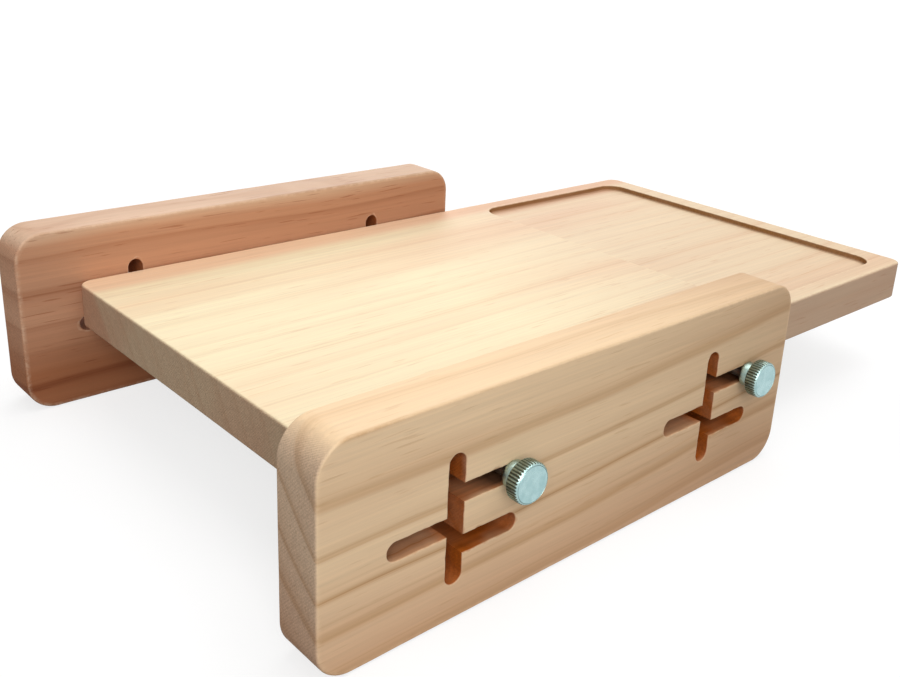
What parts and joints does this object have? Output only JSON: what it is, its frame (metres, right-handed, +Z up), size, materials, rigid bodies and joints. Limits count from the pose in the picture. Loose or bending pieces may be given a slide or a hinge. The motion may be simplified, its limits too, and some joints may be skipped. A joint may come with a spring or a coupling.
{
  "type": "bread slicer guide",
  "caption": "Adjustable wooden guide for slicing bread: a board with a crumb tray, held between two slotted side panels by knurled thumbscrews.",
  "frame": {"origin": "middle of the footprint of the whole object, on the surface that the two side panels stand on", "axes": "+X along the board from its free left end towards the crumb tray, +Y from the front panel to the rear panel, +Z up"},
  "size_m": [0.305, 0.212, 0.065],
  "materials": {
    "board_pine": "bare planed pine, satin",
    "panel_pine": "bare planed pine, satin",
    "plated_steel": "bright zinc plated, turned and knurled",
    "insert_brass": "turned"
  },
  "bodies": {
    "board": {"board": "board_pine", "front_left_insert": "insert_brass", "front_right_insert": "insert_brass", "rear_left_insert": "insert_brass", "rear_right_insert": "insert_brass"},
    "front_panel": {"front_panel": "panel_pine"},
    "rear_panel": {"rear_panel": "panel_pine"},
    "front_left_stud": {"front_left_stud": "plated_steel"},
    "front_left_knob": {"front_left_knob": "plated_steel"},
    "front_right_stud": {"front_right_stud": "plated_steel"},
    "front_right_knob": {"front_right_knob": "plated_steel"},
    "rear_left_stud": {"rear_left_stud": "plated_steel"},
    "rear_left_knob": {"rear_left_knob": "plated_steel"},
    "rear_right_stud": {"rear_right_stud": "plated_steel"},
    "rear_right_knob": {"rear_right_knob": "plated_steel"}
  },
  "joints": [
    {"name": "front_panel_slide", "type": "slide", "parent": "board", "child": "front_panel", "axis": [1, 0, 0], "range_m": [0, 0.019]},
    {"name": "rear_panel_slide", "type": "slide", "parent": "board", "child": "rear_panel", "axis": [1, 0, 0], "range_m": [0, 0.019]},
    {"name": "front_left_stud_travel", "type": "slide", "parent": "board", "child": "front_left_stud", "axis": [0, -1, 0], "range_m": [0, 0.0098]},
    {"name": "front_left_knob_turn", "type": "hinge", "parent": "front_left_stud", "child": "front_left_knob", "pos_m": [-0.0915, -0.09835, 0.0376], "axis": [0, -1, 0], "range_deg": [0, 5040]},
    {"name": "front_right_stud_travel", "type": "slide", "parent": "board", "child": "front_right_stud", "axis": [0, -1, 0], "range_m": [0, 0.0098]},
    {"name": "front_right_knob_turn", "type": "hinge", "parent": "front_right_stud", "child": "front_right_knob", "pos_m": [0.0145, -0.09835, 0.0376], "axis": [0, -1, 0], "range_deg": [0, 5040]},
    {"name": "rear_left_stud_travel", "type": "slide", "parent": "board", "child": "rear_left_stud", "axis": [0, 1, 0], "range_m": [0, 0.0098]},
    {"name": "rear_left_knob_turn", "type": "hinge", "parent": "rear_left_stud", "child": "rear_left_knob", "pos_m": [-0.0915, 0.09835, 0.0376], "axis": [0, 1, 0], "range_deg": [0, 5040]},
    {"name": "rear_right_stud_travel", "type": "slide", "parent": "board", "child": "rear_right_stud", "axis": [0, 1, 0], "range_m": [0, 0.0098]},
    {"name": "rear_right_knob_turn", "type": "hinge", "parent": "rear_right_stud", "child": "rear_right_knob", "pos_m": [0.0145, 0.09835, 0.0376], "axis": [0, 1, 0], "range_deg": [0, 5040]}
  ],
  "couplings": [
    {"joint": "front_left_knob_turn", "follows": "front_left_stud_travel", "rad_per_m": 8976},
    {"joint": "front_right_knob_turn", "follows": "front_right_stud_travel", "rad_per_m": 8976},
    {"joint": "rear_left_knob_turn", "follows": "rear_left_stud_travel", "rad_per_m": 8976},
    {"joint": "rear_right_knob_turn", "follows": "rear_right_stud_travel", "rad_per_m": 8976}
  ]
}
